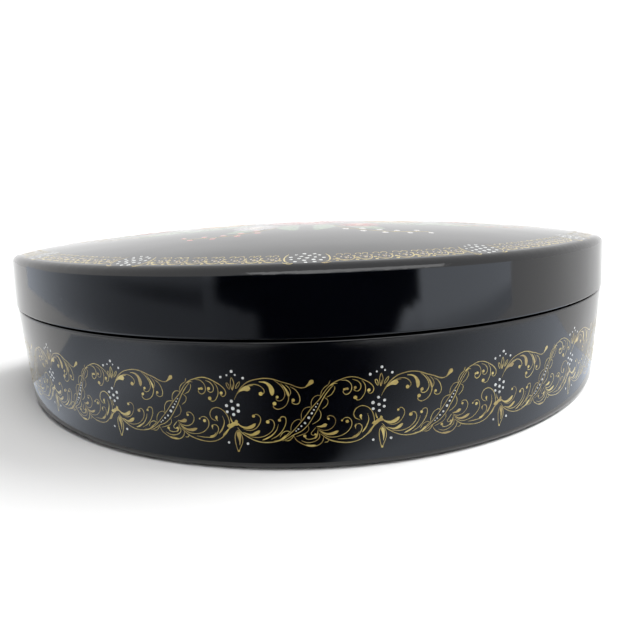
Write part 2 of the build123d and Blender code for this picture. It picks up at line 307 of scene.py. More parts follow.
# ---------------------------------------------------- the frieze on the side
# One repeat of the scroll frieze, in millimetres along the wall and up it,
# from the middle of its white flower: kind, width, end blob, points.
MOTIF = [
    ("d", 0.5, 0, [(-0.04, -0.13)]),
    ("d", 0.44, 0, [(-0.2, 1.73)]),
    ("d", 0.47, 0, [(-1.54, 0.54)]),
    ("d", 0.47, 0, [(1.33, 0.81)]),
    ("d", 0.44, 0, [(-1.51, -1.07)]),
    ("d", 0.46, 0, [(1.26, -0.78)]),
    ("d", 0.45, 0, [(0.03, -1.72)]),
    ("d", 0.42, 0, [(0.33, 9.28)]),
    ("d", 0.27, 0, [(-0.85, 8.29)]),
    ("d", 0.27, 0, [(1.13, 8.41)]),
    ("d", 0.38, 0, [(-2.39, 7.78)]),
    ("d", 0.37, 0, [(2.95, 7.66)]),
    ("d", 0.38, 0, [(-1.79, -9.19)]),
    ("d", 0.38, 0, [(2.91, -9.29)]),
    ("o", 0.22, 0, [(0.24, 4.59), (-0.09, 5.96), (0.22, 7.75), (0.76, 6.29), (0.4, 4.59)]),
    ("o", 0.2, 0, [(-0.43, 4.71), (-1.01, 5.57), (-1.11, 6.48), (-0.53, 5.94), (-0.31, 4.77)]),
    ("o", 0.2, 0, [(1.07, 4.96), (1.38, 6), (2.13, 6.8), (1.94, 5.88), (1.27, 4.91)]),
    ("f", 0.34, 0, [(0.36, 6.07), (0.32, 5.25), (0.27, 4.46)]),
    ("l", 0.34, 0, [(0.52, 2.1), (1.1, 3.31), (1.84, 4.58), (2.89, 5.84), (4.35, 6.89), (6.14, 7.43), (8.09, 7.69), (10, 7.45), (11.88, 6.79), (13.76, 6.2), (15.44, 5.47), (16.58, 5.26), (17.55, 5.52), (18.33, 6.21)]),
    ("f", 0.95, 0, [(17.26, 5.43), (18.04, 6.02), (18.64, 6.61), (19.17, 7.1)]),
    ("l", 0.26, 0, [(1.32, 3.52), (2.22, 4.79), (3.66, 5.59), (5.25, 5.89)]),
    ("f", 1.25, 0, [(1.77, 4.16), (2.82, 4.87), (3.82, 5.1), (4.57, 5.03)]),
    ("c", 0.26, 0.52, [(3.05, 5.33), (4.48, 6.04), (6.05, 6.1), (7.27, 5.44), (7.83, 4.48), (7.55, 3.8), (6.97, 3.79)]),
    ("f", 0.95, 0, [(6.68, 6.78), (8.03, 6.67), (9.04, 5.92), (9.56, 4.8), (9.61, 3.36)]),
    ("c", 0.26, 0.4, [(10.18, 7.21), (11.37, 6.23), (12.31, 4.89), (12.57, 3.56), (11.93, 2.32), (11, 2.02), (10.45, 2.49), (10.75, 2.99)]),
    ("c", 0.28, 0.46, [(11.67, 6.43), (12.75, 5.2), (13.35, 3.76), (13.34, 2.31), (12.77, 0.97), (11.72, 0.14), (10.54, -0.07), (9.75, 0.56), (10.07, 1.33)]),
    ("l", 0.22, 0, [(12.71, 6.12), (13.53, 5.29), (13.92, 4.16), (13.4, 3.01)]),
    ("f", 0.55, 0, [(11.98, 6.02), (12.66, 5.1), (13.22, 3.96), (13.33, 3.14)]),
    ("c", 0.28, 0.4, [(13.83, 5.59), (14.95, 4.86), (15.7, 3.72), (16.02, 2.37), (15.65, 1.35), (14.74, 1.2), (14.07, 1.72), (14.44, 2.2)]),
    ("f", 0.95, 0, [(0.81, -4.21), (-0.13, -4.43), (-0.98, -4.73), (-1.93, -4.74)]),
    ("f", 0.75, 0, [(0.89, -4.42), (0.54, -3.69), (0.45, -3.07)]),
    ("f", 0.5, 0, [(-0.37, -4.92), (-1.46, -5.52), (-2.39, -6.66), (-3.17, -7.48)]),
    ("o", 0.24, 0, [(0.74, -5.84), (-0.02, -6.85), (-0.18, -8.39), (0.12, -10.58), (0.43, -11.62), (0.95, -10.53), (1.67, -8.73), (1.54, -7.1), (0.94, -5.89)]),
    ("f", 0.85, 0, [(0.85, -9.76), (0.98, -8.55), (0.88, -7.24), (0.66, -6.12)]),
    ("d", 0.3, 0, [(0.49, -11.35)]),
    ("f", 0.8, 0, [(0.56, -3.54), (1.29, -4.51), (2.87, -5.12), (4.32, -4.68), (5.21, -3.88)]),
    ("c", 0.24, 0.36, [(2.04, -5.39), (3.53, -5.78), (5.08, -5.26), (6.12, -4.03), (6.56, -2.74), (6.21, -1.8), (5.44, -1.43), (4.86, -1.98)]),
    ("f", 0.75, 0, [(1.97, -6.32), (3.85, -6.94), (5.2, -6.42), (6.15, -5.71)]),
    ("c", 0.26, 0.42, [(3.22, -7.36), (5.73, -7.53), (7.77, -6.84), (9.25, -5.48), (9.76, -4.09), (9.43, -3.02), (8.66, -2.76), (8.18, -3.4)]),
    ("f", 0.34, 0, [(10.71, -3.93), (10.24, -5.37), (9.17, -6.73), (7.72, -7.71), (6.49, -8.25)]),
    ("c", 0.26, 0.36, [(8.7, -7.97), (10.35, -6.98), (11.82, -5.26), (12.55, -3.34), (12.34, -2.11), (11.44, -2.11), (11, -2.95)]),
    ("l", 0.34, 0, [(0.68, -5.08), (1.75, -6.5), (3.78, -7.94), (6.05, -8.74), (8.65, -8.78), (10.68, -8.23), (12.12, -7.19), (13.27, -6.08)]),
    ("f", 0.5, 0, [(9.28, -8.4), (10.68, -8.23), (11.7, -7.63), (12.43, -6.87)]),
    ("l", 0.3, 0, [(10.37, -8.5), (12, -7.63), (13.44, -6.45), (14.89, -4.85), (16.54, -2.8), (18.59, 0.09), (20.6, 2.51), (22.21, 4.85), (23.49, 6.12)]),
    ("l", 0.28, 0, [(11.37, -8.38), (12.59, -7.8), (14.21, -6.73), (16.02, -5.84), (17.65, -4.27), (18.99, -2.09), (20.17, 0.07), (21.37, 2.56), (22.78, 4.62), (23.86, 5.8)]),
    ("l", 0.26, 0, [(11.97, -8.28), (12.96, -8.28), (13.89, -7.42), (14.31, -6.73)]),
    ("l", 0.22, 0, [(10.83, -7.41), (11.58, -6.22), (12.69, -5.73), (13.55, -6.12)]),
    ("l", 0.22, 0, [(13.55, -6.12), (13.69, -4.52), (14.54, -3.15), (15.76, -2.74), (16.16, -3.34)]),
    ("l", 0.22, 0, [(16.18, -3.07), (16.26, -1.17), (17.04, 0.07), (18.25, 0.39), (18.94, 0.22)]),
    ("l", 0.22, 0, [(18.56, 0.34), (18.61, 1.79), (19.37, 3.01), (20.43, 3.28), (21.03, 2.78)]),
    ("l", 0.22, 0, [(20.74, 3.17), (21, 4.28), (21.74, 5.28), (22.58, 5.85)]),
    ("l", 0.22, 0, [(22.62, 5.85), (23.03, 6.85)]),
    ("l", 0.22, 0, [(20.17, -0.03), (20.76, -1.31), (20.53, -2.67), (19.62, -3.53), (18.67, -4.05)]),
    ("l", 0.22, 0, [(21.57, 2.68), (22.39, 2.02), (22.24, 0.83), (21.13, -0.21)]),
    ("l", 0.22, 0, [(22.15, 2.74), (23.22, 3.37), (24.02, 4.67), (24.04, 5.44)]),
    ("l", 0.22, 0, [(17.65, -4.27), (17.84, -5.35), (17.28, -6.19), (16.38, -6.64), (14.78, -7.21)]),
    ("d", 0.18, 0, [(14.81, -5.75)]),
    ("d", 0.22, 0, [(15.38, -5.25)]),
    ("d", 0.27, 0, [(16.11, -4.49)]),
    ("d", 0.33, 0, [(16.99, -3.72)]),
    ("d", 0.42, 0, [(17.91, -2.37)]),
    ("d", 0.32, 0, [(18.64, -1.23)]),
    ("d", 0.26, 0, [(19.15, -0.37)]),
    ("d", 0.22, 0, [(19.6, 0.41)]),
    ("d", 0.17, 0, [(20.02, 1.16)]),
    ("l", 0.32, 0, [(22.21, 4.95), (23, 5.73), (24.17, 6.49), (25.52, 7.03), (27.26, 7.51), (28.99, 7.4), (30.73, 6.68), (32.38, 5.66), (33.22, 4.52), (33.1, 3.5), (32.36, 3.02), (31.72, 3.53)]),
    ("d", 0.4, 0, [(32.07, 3.91)]),
    ("f", 0.45, 0, [(24.73, 6.06), (23.77, 6.11), (22.99, 5.57)]),
    ("c", 0.28, 0.3, [(25.61, 6.83), (26.86, 6.7), (27.81, 5.89), (28.02, 4.65), (27.49, 3.55), (26.6, 3.19), (25.95, 3.91), (26.27, 4.51)]),
    ("f", 0.62, 0, [(26.04, 4.19), (26.62, 4.61), (27.36, 4.52)]),
    ("c", 0.26, 0.36, [(28.21, 6.88), (29.46, 6.4), (30.17, 5.43), (30.02, 4.35), (29.29, 3.85), (28.52, 4.29), (28.86, 4.8)]),
    ("c", 0.26, 0.52, [(30.43, 6.53), (31.15, 5.46), (31.25, 3.91), (30.72, 2.61), (29.93, 1.71), (29.14, 1.64), (28.82, 2.28)]),
    ("l", 0.34, 0, [(14.3, -7.2), (14.7, -8.1), (16, -9.1), (18, -9.9), (19.9, -9.6), (21, -8.6), (21.3, -7.4)]),
    ("l", 0.26, 0, [(15.9, -8.3), (17.4, -8.9), (19.3, -8.5), (20.3, -7.5), (20.2, -6.4)]),
    ("c", 0.24, 0.28, [(19.5, -4.9), (18.8, -5.8), (18.3, -6.5), (18.8, -7), (19.35, -6.75)]),
    ("c", 0.26, 0.36, [(19.95, -6.3), (19.2, -7.6), (18, -8), (17.1, -7.8), (16.8, -7.1)]),
    ("l", 0.24, 0, [(21.4, -8.9), (22.2, -8.8), (22.6, -8)]),
    ("f", 0.42, 0, [(20, -5.4), (19.8, -6.8), (19.1, -7.9)]),
    ("p", 0.55, 0, [(16.9, -9.45), (18.1, -9.75), (19.4, -9.6)]),
    ("f", 0.85, 0, [(19.68, -4.66), (20.75, -4.72), (21.64, -4.42), (22.17, -4.23)]),
    ("c", 0.26, 0.3, [(19.77, -4.98), (21.11, -5.74), (22.68, -5.6), (23.85, -4.57), (24.15, -3.31), (23.65, -2.28), (22.82, -1.99), (22.15, -2.32), (22.49, -2.8)]),
    ("f", 0.65, 0, [(20.14, -5.53), (21.87, -6.7), (23.44, -6.69), (24.87, -6.08)]),
    ("c", 0.26, 0.22, [(20.32, -5.96), (22.43, -7.5), (24.9, -7.48), (26.7, -6.63), (27.81, -5.2), (27.96, -3.82), (27.3, -2.82), (26.32, -2.75), (25.64, -3.39)]),
    ("d", 0.42, 0, [(26.89, -3.75)]),
    ("l", 0.34, 0, [(20.49, -6.62), (22.61, -8.29), (24.96, -9.03), (27.55, -9.29), (29.76, -8.77), (31.38, -7.64), (32.81, -5.82), (33.26, -5.17)]),
    ("l", 0.3, 0, [(24.59, -8.18), (27.17, -8.22), (29.07, -7.88), (30.1, -6.62), (30.4, -5.29), (29.85, -4.54), (28.91, -4.64)]),
    ("f", 0.42, 0, [(28.96, -5.82), (28.77, -5.16), (29.01, -4.64)]),
    ("f", 0.38, 0, [(31.67, -1.98), (32.02, -3.5), (31.44, -5.38), (30.42, -6.91)]),
    ("f", 0.5, 0, [(29.79, -6.53), (29.17, -7.46), (27.96, -8.12)]),
    ("l", 0.3, 0, [(33.21, -5.21), (33.34, -3.62), (32.83, -1.65), (31.68, -0.33), (30.36, 0.07), (29.03, -0.51), (28.42, -1.79), (28.8, -2.96), (29.92, -3.54)]),
    ("f", 0.62, 0, [(30.32, -3.51), (30.07, -2.81), (30.14, -2.07)]),
    ("f", 0.3, 0, [(33.67, -1.94), (33.79, -2.8), (34.13, -3.58)]),
    ("p", 0.95, 0, [(1.25, -4.3), (0.2, -4.12), (-1.1, -4.35)]),
]
PERIOD = 34.77

# ------------------------------------------------------------------ materials
def nodes_of(name):
    m = bpy.data.materials.new(name)
    m.use_nodes = True
    nt = m.node_tree
    nt.nodes.clear()
    out = nt.nodes.new("ShaderNodeOutputMaterial")
    b = nt.nodes.new("ShaderNodeBsdfPrincipled")
    nt.links.new(b.outputs[0], out.inputs[0])
    return m, nt, b


def N(nt, kind, **sockets):
    n = nt.nodes.new(kind)
    for k, v in sockets.items():
        if k.startswith("_"):
            setattr(n, k[1:], v)
        else:
            n.inputs[int(k[1:]) if k[1:].isdigit() else k.replace("__", " ")].default_value = v
    return n


def math_node(nt, op, a, b=None, clamp=False):
    n = nt.nodes.new("ShaderNodeMath")
    n.operation = op
    n.use_clamp = clamp
    for i, v in enumerate((a, b)):
        if v is None:
            continue
        if isinstance(v, (int, float)):
            n.inputs[i].default_value = v
        else:
            nt.links.new(v, n.inputs[i])
    return n.outputs[0]


def ramp(nt, fac, stops, interp="LINEAR"):
    r = nt.nodes.new("ShaderNodeValToRGB")
    r.color_ramp.interpolation = interp
    e = r.color_ramp.elements
    while len(e) < len(stops):
        e.new(0.5)
    for k, (p, c) in enumerate(stops):
        e[k].position = p
        e[k].color = (*c, 1) if len(c) == 3 else c
    nt.links.new(fac, r.inputs[0])
    return r.outputs[0]


def noise(nt, vec, scale, detail=2.0, rough=0.5, dist=0.0):
    n = nt.nodes.new("ShaderNodeTexNoise")
    n.inputs["Scale"].default_value = scale
    n.inputs["Detail"].default_value = detail
    n.inputs["Roughness"].default_value = rough
    n.inputs["Distortion"].default_value = dist
    nt.links.new(vec, n.inputs["Vector"])
    return n.outputs["Fac"]


def mixcol(nt, fac, a, b, blend="MIX"):
    m = nt.nodes.new("ShaderNodeMix")
    m.data_type = "RGBA"
    m.blend_type = blend
    if isinstance(fac, (int, float)):
        m.inputs[0].default_value = fac
    else:
        nt.links.new(fac, m.inputs[0])
    for i, v in ((6, a), (7, b)):
        if isinstance(v, tuple):
            m.inputs[i].default_value = (*v, 1)
        else:
            nt.links.new(v, m.inputs[i])
    return m.outputs[2]


BLACK = (0.0006, 0.0008, 0.0016)
RED = (0.30, 0.012, 0.007)


def lacquer(name, inside):
    """Hand-rubbed lacquer: black outside, red inside. inside picks the red
    faces: 'none', 'all', 'walls' (faces looking inwards), 'under', 'above'."""
    m, nt, b = nodes_of(name)
    tc = nt.nodes.new("ShaderNodeTexCoord")
    ob = tc.outputs["Object"]
    sep = N(nt, "ShaderNodeSeparateXYZ")
    nt.links.new(tc.outputs["Normal"], sep.inputs[0])
    pos = N(nt, "ShaderNodeSeparateXYZ")
    nt.links.new(ob, pos.inputs[0])
    # slow tone drift in the black, and the faint brown where it is thin
    drift = noise(nt, ob, 34.0, 3.0, 0.55)
    black = ramp(nt, drift, [(0.30, BLACK), (0.72, (0.0011, 0.0014, 0.0030))])
    redn = noise(nt, ob, 60.0, 4.0, 0.6)
    red = ramp(nt, redn, [(0.28, (0.20, 0.008, 0.006)), (0.55, RED), (0.80, (0.36, 0.020, 0.010))])
    if inside == "all":
        col = red
    elif inside == "none":
        col = black
    else:
        if inside == "walls":
            dx = math_node(nt, "MULTIPLY", sep.outputs[0], pos.outputs[0])
            dy = math_node(nt, "MULTIPLY", sep.outputs[1], pos.outputs[1])
            d = math_node(nt, "ADD", dx, dy)
            mask = math_node(nt, "LESS_THAN", d, -0.004)
        elif inside == "under":
            mask = math_node(nt, "LESS_THAN", sep.outputs[2], -0.4)
        else:
            mask = math_node(nt, "GREATER_THAN", sep.outputs[2], 0.4)
        col = mixcol(nt, mask, black, red)
    # dust specks caught in the varnish
    vor = nt.nodes.new("ShaderNodeTexVoronoi")
    vor.inputs["Scale"].default_value = 250.0
    vor.inputs["Randomness"].default_value = 1.0
    nt.links.new(ob, vor.inputs["Vector"])
    pick = N(nt, "ShaderNodeSeparateColor")
    nt.links.new(vor.outputs["Color"], pick.inputs[0])
    few = math_node(nt, "GREATER_THAN", pick.outputs[0], 0.88)
    size = math_node(nt, "MULTIPLY", pick.outputs[1], 0.042)
    spot = math_node(nt, "LESS_THAN", vor.outputs["Distance"], size)
    speck = math_node(nt, "MULTIPLY", few, spot)
    col = mixcol(nt, math_node(nt, "MULTIPLY", speck, 0.55), col, (0.30, 0.30, 0.31))
    nt.links.new(col, b.inputs["Base Color"])
    # gloss: even, with faint wiped patches and hairline scratches
    st = nt.nodes.new("ShaderNodeMapping")
    st.inputs["Scale"].default_value = (1.0, 1.0, 9.0)
    st.inputs["Rotation"].default_value = (0.2, 0.5, 0.35)
    nt.links.new(ob, st.inputs[0])
    hair = noise(nt, st.outputs[0], 260.0, 2.0, 0.7, 0.6)
    hairl = ramp(nt, hair, [(0.690, (0, 0, 0)), (0.705, (1, 1, 1)), (0.72, (0, 0, 0))])
    wipe = noise(nt, ob, 90.0, 4.0, 0.6)
    r = math_node(nt, "MULTIPLY_ADD", wipe, 0.085)
    r.node.inputs[2].default_value = 0.035
    r2 = math_node(nt, "ADD", r, math_node(nt, "MULTIPLY", hairl, 0.10), True)
    r3 = math_node(nt, "ADD", r2, math_node(nt, "MULTIPLY", speck, 0.4), True)
    nt.links.new(r3, b.inputs["Roughness"])
    b.inputs["IOR"].default_value = 1.52
    b.inputs["Specular IOR Level"].default_value = 0.5
    # rubbed surface: long shallow waves, fine orange peel, dust standing proud
    w1 = noise(nt, ob, 46.0, 1.0, 0.4)
    w2 = noise(nt, ob, 900.0, 2.0, 0.5)
    h = math_node(nt, "ADD", math_node(nt, "MULTIPLY", w1, 1.0), math_node(nt, "MULTIPLY", w2, 0.012))
    h2 = math_node(nt, "ADD", h, math_node(nt, "MULTIPLY", speck, 0.25))
    bump = nt.nodes.new("ShaderNodeBump")
    bump.inputs["Strength"].default_value = 0.35
    bump.inputs["Distance"].default_value = 0.0004
    nt.links.new(h2, bump.inputs["Height"])
    nt.links.new(bump.outputs[0], b.inputs["Normal"])
    return m


def paint(name, metal, rough, tint=(1, 1, 1), vary=0.35):
    """Painted stroke colour from the mesh's own tone, under clear varnish."""
    m, nt, b = nodes_of(name)
    tc = nt.nodes.new("ShaderNodeTexCoord")
    at = nt.nodes.new("ShaderNodeVertexColor")
    at.layer_name = "tone"
    n1 = noise(nt, tc.outputs["Object"], 700.0, 3.0, 0.6)
    n2 = noise(nt, tc.outputs["Object"], 110.0, 2.0, 0.5)
    f = math_node(nt, "MULTIPLY", n1, n2)
    dark = mixcol(nt, 1.0, at.outputs["Color"], (0.52 * tint[0], 0.44 * tint[1], 0.36 * tint[2]), "MULTIPLY")
    mask = ramp(nt, f, [(0.12, (1, 1, 1)), (0.30, (0, 0, 0))])
    col = mixcol(nt, math_node(nt, "MULTIPLY", mask, vary * 2), at.outputs["Color"], dark)
    nt.links.new(col, b.inputs["Base Color"])
    b.inputs["Metallic"].default_value = metal
    rr = math_node(nt, "MULTIPLY_ADD", n1, 0.25)
    rr.node.inputs[2].default_value = rough
    nt.links.new(rr, b.inputs["Roughness"])
    b.inputs["Coat Weight"].default_value = 1.0
    b.inputs["Coat Roughness"].default_value = 0.05
    b.inputs["Coat IOR"].default_value = 1.5
    bump = nt.nodes.new("ShaderNodeBump")
    bump.inputs["Strength"].default_value = 0.4
    bump.inputs["Distance"].default_value = 0.00006
    nt.links.new(n1, bump.inputs["Height"])
    nt.links.new(bump.outputs[0], b.inputs["Normal"])
    return m


def brass(name):
    m, nt, b = nodes_of(name)
    tc = nt.nodes.new("ShaderNodeTexCoord")
    n1 = noise(nt, tc.outputs["Object"], 420.0, 4.0, 0.6)
    col = ramp(nt, n1, [(0.30, (0.30, 0.19, 0.07)), (0.52, (0.62, 0.44, 0.17)), (0.78, (0.74, 0.56, 0.26))])
    nt.links.new(col, b.inputs["Base Color"])
    b.inputs["Metallic"].default_value = 1.0
    st = nt.nodes.new("ShaderNodeMapping")
    st.inputs["Scale"].default_value = (0.12, 1.0, 1.0)
    nt.links.new(tc.outputs["Object"], st.inputs[0])
    br = noise(nt, st.outputs[0], 2600.0, 2.0, 0.5)
    r = math_node(nt, "MULTIPLY_ADD", br, 0.30)
    r.node.inputs[2].default_value = 0.16
    nt.links.new(r, b.inputs["Roughness"])
    bump = nt.nodes.new("ShaderNodeBump")
    bump.inputs["Strength"].default_value = 0.25
    bump.inputs["Distance"].default_value = 0.00005
    nt.links.new(br, bump.inputs["Height"])
    nt.links.new(bump.outputs[0], b.inputs["Normal"])
    return m


M_BASE = lacquer("black_lacquer_base", "walls")
M_LID = lacquer("black_lacquer_lid", "walls")
M_PANEL = lacquer("black_lacquer_panel", "under")
M_RED = lacquer("red_lacquer", "all")
M_BOARD = lacquer("board_lacquer", "above")
M_GOLD = paint("gold_paint", 0.15, 0.40)
M_WHITE = paint("white_paint", 0.0, 0.30, vary=0.15)
M_COLOUR = paint("colour_paint", 0.0, 0.35)
M_BRASS = brass("hinge_brass")

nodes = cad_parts
for node, mat in {"base_wall": M_BASE, "lid_wall": M_LID, "lid_panel": M_PANEL, "inner_collar": M_RED,
                  "bottom_board": M_BOARD, "hinge_base_leaf": M_BRASS, "hinge_lid_leaf": M_BRASS,
                  "hinge_pin": M_BRASS, "hinge_base_nails": M_BRASS, "hinge_lid_nails": M_BRASS}.items():
    o = nodes[node]
    if not o.data.materials:
        o.data.materials.append(mat)
    for s in o.material_slots:
        s.link = "OBJECT"
        s.material = mat

GOLD = (0.52, 0.40, 0.095)
GOLD_HI = (0.62, 0.50, 0.16)
GOLD_LO = (0.40, 0.29, 0.075)
WHITE = (0.62, 0.64, 0.63)


def gold_tone(k=1.0):
    t = random.random()
    a, b = (GOLD_LO, GOLD) if t < 0.5 else (GOLD, GOLD_HI)
    f = (t % 0.5) * 2
    return tuple(k * (a[i] + (b[i] - a[i]) * f) for i in range(3))


# ------------------------------------------------- the frieze round the base
NODES = [-81.2, -51.65, -17.85, 16.92, 50.38, 83.47]
ZC = [17.3, 17.12, 16.58, 16.26, 16.1, 16.6]
P_WALL = perimeter(-BASE_IN)
rest = P_WALL + NODES[0] - NODES[-1]
for k in range(1, 12):
    NODES.append(NODES[5] + rest * k / 12 + random.uniform(-0.5, 0.5))
    ZC.append(16.6 + random.uniform(-0.5, 0.5))
NODES.append(NODES[0] + P_WALL)
ZC.append(ZC[0])

gold, white = Paint(), Paint()
for k in range(17):
    s0, s1, z0, z1 = NODES[k], NODES[k + 1], ZC[k], ZC[k + 1]
    sx = (s1 - s0) / PERIOD
    own = random.Random(100 + k)
    wob = [(own.uniform(-0.28, 0.28), own.uniform(0.12, 0.3), own.uniform(0, 6.28)) for _ in range(4)]
    calm = 0.35 if k == 2 else 1.0

    def place(p):
        u, w = p
        du = sum(a * math.sin(f * w + c + u * 0.13) for a, f, c in wob[:2]) * calm
        dw = sum(a * math.sin(f * u + c) for a, f, c in wob[2:]) * calm
        z = w + dw
        return (s0 + (u + du) * sx, z0 + (z1 - z0) * u / PERIOD + z * 0.985)

    for kind, w, e, pts in MOTIF:
        q = [place(p) for p in pts]
        if kind == "d":
            if w < 0.31 and (pts[0][0], pts[0][1]) != (2.91, -9.29) and pts[0][1] < -9.5:
                gold.dot(q[0], w, on_wall, gold_tone(), lift=0.02)
            elif (pts[0][0] > 22 and w > 0.38) or (pts[0][1] < -5 and w > 0.45):
                gold.dot(q[0], w, on_wall, gold_tone(), lift=0.02)
            else:
                white.dot(q[0], w * 0.86 * own.uniform(0.9, 1.1), on_wall, WHITE, lift=0.05)
            continue
        wf = w * own.uniform(0.86, 1.12)
        if kind == "o":
            gold.stroke(q[:-1], wf * 0.85, on_wall, "o", 0.012, gold_tone(0.84), closed=True)
        elif kind == "f":
            gold.stroke(q, wf * 1.18, on_wall, "f", 0.016, gold_tone(0.98))
        elif kind == "p":
            gold.stroke(q, wf, on_wall, "p", 0.015, gold_tone())
        else:
            gold.stroke(q, wf * 0.76, on_wall, "l", 0.012, gold_tone(0.80))
            if kind == "c" and e:
                gold.dot(q[-1], e * 1.0 * own.uniform(0.85, 1.12), on_wall, gold_tone(1.04), lift=0.022)

# ------------------------------------------------------ border on the lid
P_LID = perimeter(0.0)
N_FLOWER = 12
ROSY = (0.50, 0.40, 0.36)
gold2, white2 = Paint(), Paint()
for j in range(N_FLOWER):
    s0 = 1.0 + P_LID * j / N_FLOWER
    s1 = 1.0 + P_LID * (j + 1) / N_FLOWER
    own = random.Random(300 + j)
    c = (s0, 7.3)
    white2.dot(c, 0.62, on_rim, WHITE, sq=0.85, lift=0.018)
    for rad_, cnt, r, off in ((2.0, 6, 0.56, 0.25), (3.75, 11, 0.50, 0.0)):
        for i in range(cnt):
            a = 2 * math.pi * i / cnt + off + own.uniform(-0.07, 0.07)
            k = rad_ * own.uniform(0.95, 1.05)
            white2.dot((c[0] + 1.06 * k * math.cos(a), c[1] + 0.96 * k * math.sin(a)), r * own.uniform(0.82, 1.12),
                       on_rim, WHITE, sq=0.85, lift=0.018)
    for sg in (-1, 1):
        gold2.stroke([(s0 + sg * 4.0, 3.5), (s0 + sg * 5.1, 4.7), (s0 + sg * 5.6, 6.6), (s0 + sg * 5.4, 8.8), (s0 + sg * 4.7, 10.6)],
                     0.46, on_rim, "p", 0.011, gold_tone())
        gold2.stroke([(s0 + sg * 5.9, 4.2), (s0 + sg * 5.3, 3.5), (s0 + sg * 4.3, 3.1), (s0 + sg * 3.2, 3.3)],
                     0.60, on_rim, "f", 0.012, gold_tone())
        gold2.dot((s0 + sg * 6.4, 5.6), 0.36, on_rim, gold_tone(), lift=0.014)
    lo, hi = s0 + 6.6, s1 - 6.6
    n = 7
    cuts = [0.0]
    for i in range(n):
        cuts.append(cuts[-1] + own.uniform(0.82, 1.18))
    for i in range(n):
        m0 = lo + (hi - lo) * (cuts[i] + cuts[i + 1]) / 2 / cuts[-1]
        g = (hi - lo) * (cuts[i + 1] - cuts[i]) / cuts[-1] / 5.0
        jig = [own.uniform(-0.10, 0.10) for _ in range(40)]

        def B(x, y, k=0, m0=m0, g=g, jig=jig):
            return (m0 + (x + jig[k]) * g, 4.3 + (y + jig[k + 20] * 0.7) * 1.05)

        # smile-shaped arc, curled in at its left, rising at its right
        gold2.stroke([B(-0.55, 1.55, 0), B(-1.1, 1.75, 1), B(-1.45, 1.25, 2), B(-1.05, 0.5, 3), B(-0.1, 0.0, 4), B(1.1, 0.25, 5),
                      B(2.05, 1.15, 6), B(2.45, 2.4, 7), B(2.25, 3.7, 8)], 0.42, on_rim, "l", 0.010, gold_tone(0.78))
        gold2.stroke([B(-1.2, 0.75, 9), B(-0.3, 0.22, 10), B(0.8, 0.35, 11)], 0.62, on_rim, "p", 0.012, gold_tone(0.78))
        # pair of drops at its left
        gold2.dot(B(-2.1, 0.25, 12), 0.46, on_rim, gold_tone(), lift=0.016)
        gold2.dot(B(-1.9, 1.75, 13), 0.44, on_rim, gold_tone(), lift=0.016)
        gold2.dot(B(-2.35, 3.2, 14), 0.30, on_rim, gold_tone(), lift=0.014)
        # inner row of small curls
        gold2.stroke([B(-1.75, 4.4, 15), B(-1.35, 5.2, 16), B(-0.55, 5.3, 17), B(-0.15, 4.6, 18), B(-0.45, 4.0, 19)],
                     0.30, on_rim, "l", 0.010, gold_tone(0.78))
        gold2.stroke([B(0.2, 4.2, 3), B(0.6, 5.1, 4), B(1.4, 5.35, 5), B(1.9, 4.7, 6), B(1.6, 4.05, 7)],
                     0.30, on_rim, "l", 0.010, gold_tone(0.78))
        gold2.stroke([B(0.1, 1.2, 8), B(0.75, 1.6, 9), B(0.9, 2.4, 10), B(0.3, 2.8, 11), B(-0.15, 2.3, 12)],
                     0.32, on_rim, "l", 0.010, gold_tone(0.78))
        white2.dot(B(0.35, 2.0, 13), 0.30, on_rim, ROSY, lift=0.014, n=9)
        white2.dot(B(1.45, 1.7, 14), 0.26, on_rim, ROSY, lift=0.014, n=9)
        white2.dot(B(-0.7, 2.9, 15), 0.28, on_rim, ROSY, lift=0.014, n=9)
        white2.dot(B(1.3, 3.3, 16), 0.26, on_rim, ROSY, lift=0.014, n=9)

# ------------------------------------------ flowers painted on the lid's top
ROSE = [(0.16, 0.012, 0.014), (0.30, 0.030, 0.028), (0.46, 0.085, 0.070), (0.60, 0.20, 0.16)]
OCHRE = [(0.25, 0.12, 0.02), (0.42, 0.24, 0.04), (0.58, 0.38, 0.09), (0.68, 0.52, 0.20)]
LEAFC = [(0.020, 0.055, 0.024), (0.045, 0.11, 0.045), (0.09, 0.18, 0.07), (0.20, 0.30, 0.13)]
PALE = [(0.26, 0.25, 0.28), (0.42, 0.41, 0.43), (0.60, 0.59, 0.58), (0.74, 0.73, 0.70)]
art = Paint()
gold3 = Paint()


def turn(p, c, a, k=1.0):
    x, y = p[0] * k, p[1] * k
    return (c[0] + x * math.cos(a) - y * math.sin(a), c[1] + x * math.sin(a) + y * math.cos(a))


def petal(c, a, r0, length, width, col, lift, notch=0.10):
    o = []
    n = 22
    for i in range(n):
        t = 2 * math.pi * i / n
        x = r0 + length * (0.5 - 0.5 * math.cos(t))
        w = width * math.sin(t) * (0.72 + 0.34 * (0.5 - 0.5 * math.cos(t)))
        x -= notch * length * math.exp(-((t - math.pi) / 0.28) ** 2)
        o.append(turn((x, w), c, a))
    art.patch(o, on_dome, col, lift, 0.86)


